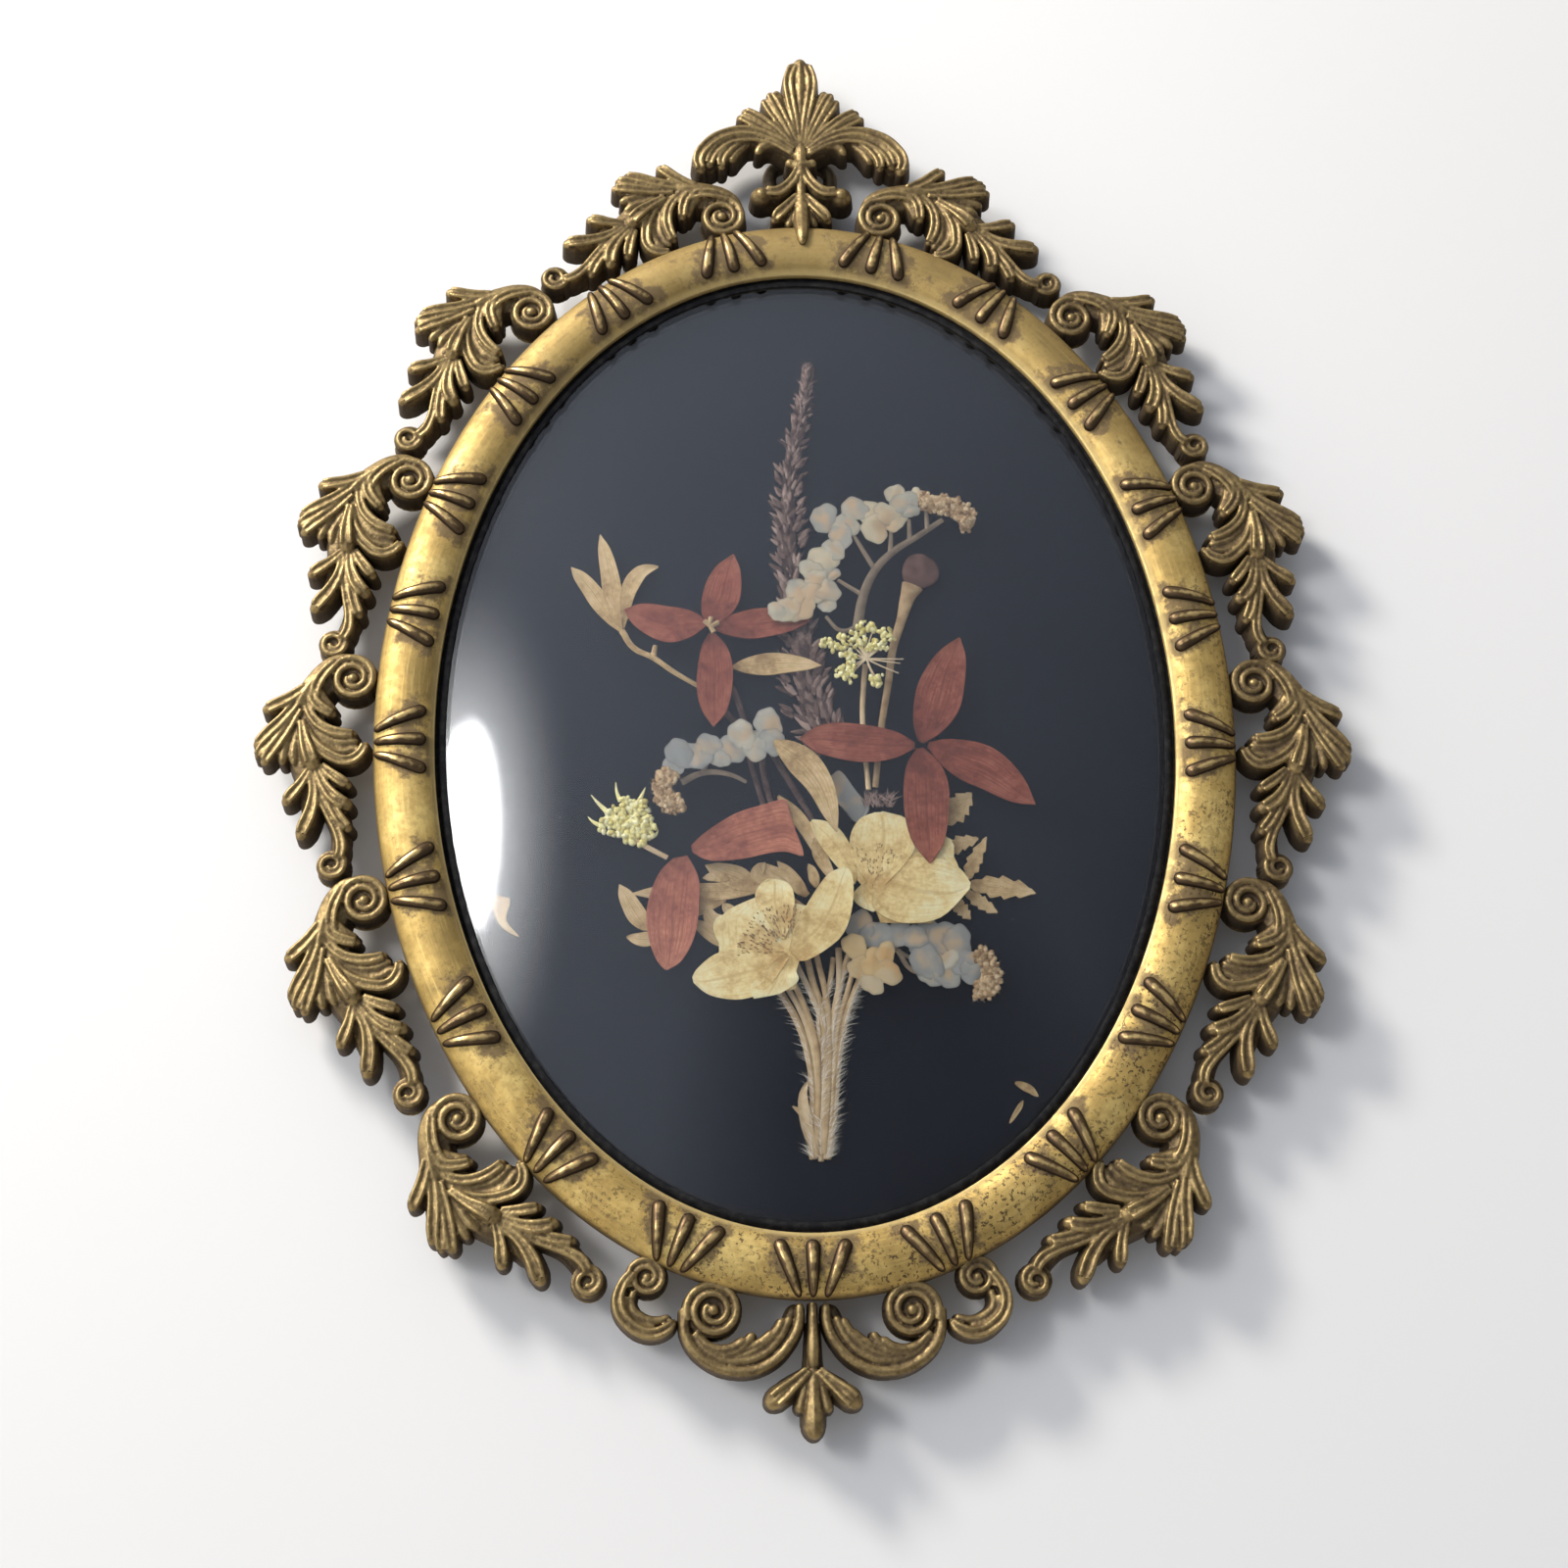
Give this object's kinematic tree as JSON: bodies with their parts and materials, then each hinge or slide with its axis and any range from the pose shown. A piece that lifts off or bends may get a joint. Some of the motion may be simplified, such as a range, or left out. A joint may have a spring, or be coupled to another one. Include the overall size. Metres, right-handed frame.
{
  "type": "pressed flower frame",
  "caption": "Oval openwork cast brass frame with leaf scrolls, a crest and a pendant, holding a pressed flower bouquet on dark cloth under domed glass.",
  "frame": {"origin": "middle of the oval, on the underside of the back cover, where the frame lies on a table or against a wall", "axes": "+Z out of the front through the glass, +Y towards the crest at the top, +X to the right seen from the front"},
  "size_m": [0.166, 0.2226, 0.015],
  "materials": {
    "gilt_brass": "worn gilt with dark pits and brown tarnish",
    "antique_brass": "antique brass with dark recesses",
    "dark_brass": "dark, matte",
    "card": "matte card",
    "cloth": "dark blue-black velvety cloth",
    "liner": "matte black",
    "glass": "clear, polished",
    "flower_spike": "dry, matte",
    "red_petal": "dry, matte",
    "white_petal": "dry, thin",
    "blue_petal": "dry, thin",
    "umbel": "dry, matte",
    "bud": "dry, matte",
    "dry_leaf": "dry, matte",
    "cream_petal": "dry, thin",
    "peach_petal": "dry, thin",
    "dry_stem": "dry, hairy"
  },
  "bodies": {
    "root": {"rim": "gilt_brass", "leaf_scroll_left_1": "antique_brass", "leaf_scroll_left_2": "antique_brass", "leaf_scroll_left_3": "antique_brass", "leaf_scroll_left_4": "antique_brass", "leaf_scroll_left_5": "antique_brass", "leaf_scroll_left_6": "antique_brass", "leaf_scroll_right_1": "antique_brass", "leaf_scroll_right_2": "antique_brass", "leaf_scroll_right_3": "antique_brass", "leaf_scroll_right_4": "antique_brass", "leaf_scroll_right_5": "antique_brass", "leaf_scroll_right_6": "antique_brass", "crest": "antique_brass", "pendant": "antique_brass", "small_scroll_left": "antique_brass", "small_scroll_right": "antique_brass", "hanging_loop": "dark_brass", "back_cover": "card", "backing_board": "cloth", "liner": "liner", "glass": "glass", "flower_spike": "flower_spike", "red_flower_upper": "red_petal", "red_flower_right": "red_petal", "red_flower_lower": "red_petal", "forget_me_not_upper": "white_petal", "forget_me_not_left": "blue_petal", "forget_me_not_lower": "blue_petal", "blue_petal": "blue_petal", "umbel_right": "umbel", "umbel_left": "umbel", "round_bud": "bud", "leaf_sprig": "dry_leaf", "pale_leaf_straight": "dry_leaf", "pale_leaf_curved": "dry_leaf", "pale_leaf_thin": "dry_leaf", "cream_flower_left": "cream_petal", "cream_flower_right": "cream_petal", "peach_blossom": "peach_petal", "toothed_leaves": "dry_leaf", "ferny_leaves": "dry_leaf", "stem_bundle": "dry_stem", "loose_bit_left": "dry_leaf", "loose_bit_right_upper": "dry_leaf", "loose_bit_right_lower": "dry_leaf"}
  },
  "joints": []
}
